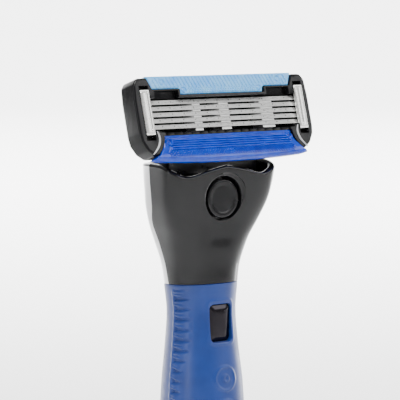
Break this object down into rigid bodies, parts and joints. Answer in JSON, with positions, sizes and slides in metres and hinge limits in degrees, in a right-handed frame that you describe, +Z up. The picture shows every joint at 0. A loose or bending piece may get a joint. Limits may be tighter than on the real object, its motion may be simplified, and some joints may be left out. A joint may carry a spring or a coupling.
{
  "type": "cartridge razor",
  "caption": "Wet-shaving razor: rubber-gripped handle with a glossy neck and release button, and a sprung pivoting blade cartridge with lubricating strip and rubber guard.",
  "frame": {"origin": "centre of the flat end of the butt, which the razor stands on", "axes": "+Z up the handle to the head, blades face -Y, +X to the razor's right seen from behind the handle looking along +Y"},
  "size_m": [0.0424, 0.0196, 0.1444],
  "materials": {
    "frame_plastic": "gloss black moulded housing",
    "strip_polymer": "translucent light blue, dimpled",
    "guard_rubber": "glossy translucent deep blue elastomer",
    "clip_metal": "bright rolled sheet",
    "blade_steel": "ground and polished",
    "support_steel": "bent sheet, bright",
    "spacer_steel": "bright",
    "hub_plastic": "satin black",
    "spring_steel": "drawn wire",
    "cover_gloss": "high-gloss black",
    "shell_chrome": "plated, polished",
    "core_plastic": "moulded, unfinished",
    "grip_rubber": "satin blue elastomer with moulded ribs",
    "inlay_chrome": "plated, dark polished",
    "butt_plastic": "gloss black",
    "button_plastic": "fine satin black, bevelled rim"
  },
  "bodies": {
    "handle": {"handle_core": "core_plastic", "neck_front_cover": "cover_gloss", "neck_rear_shell": "shell_chrome", "grip_sleeve": "grip_rubber", "grip_inlay": "inlay_chrome", "butt_cap": "butt_plastic", "button_spring": "spring_steel"},
    "hub": {"docking_hub": "hub_plastic", "return_spring": "spring_steel"},
    "cartridge": {"cartridge_frame": "frame_plastic", "lubricating_strip": "strip_polymer", "guard_rubber": "guard_rubber", "clip_left": "clip_metal", "clip_right": "clip_metal", "blade_1": "blade_steel", "blade_2": "blade_steel", "blade_3": "blade_steel", "blade_4": "blade_steel", "blade_5": "blade_steel", "blade_support_1": "support_steel", "blade_support_2": "support_steel", "blade_support_3": "support_steel", "blade_support_4": "support_steel", "blade_support_5": "support_steel", "blade_spacer_left": "spacer_steel", "blade_spacer_middle": "spacer_steel", "blade_spacer_right": "spacer_steel"},
    "plunger": {"return_plunger": "hub_plastic"},
    "button": {"release_button": "button_plastic"},
    "ejector": {"ejector": "core_plastic"}
  },
  "joints": [
    {"name": "cartridge_release", "type": "slide", "parent": "handle", "child": "hub", "axis": [0, 0, 1], "range_m": [0, 0.015]},
    {"name": "cartridge_pivot", "type": "hinge", "parent": "hub", "child": "cartridge", "pos_m": [0, -0.00258, 0.13232], "axis": [-1, 0, 0], "range_deg": [0, 40], "stiffness_Nm_per_rad": 0.02, "springref_deg": -20.05},
    {"name": "plunger_slide", "type": "slide", "parent": "hub", "child": "plunger", "axis": [0, 0, 1], "range_m": [-0.00195, 0], "deforming": ["return_spring"]},
    {"name": "button_press", "type": "slide", "parent": "handle", "child": "button", "axis": [0, 1, 0], "range_m": [0, 0.0009], "stiffness_N_per_m": 800, "springref_m": -0.001, "deforming": ["button_spring"]},
    {"name": "ejector_slide", "type": "slide", "parent": "handle", "child": "ejector", "axis": [0, 0, 1], "range_m": [0, 0.00095]}
  ],
  "couplings": [
    {"joint": "plunger_slide", "follows": "cartridge_pivot", "m_per_rad": -0.0027435},
    {"joint": "ejector_slide", "follows": "button_press", "ratio": 1}
  ]
}
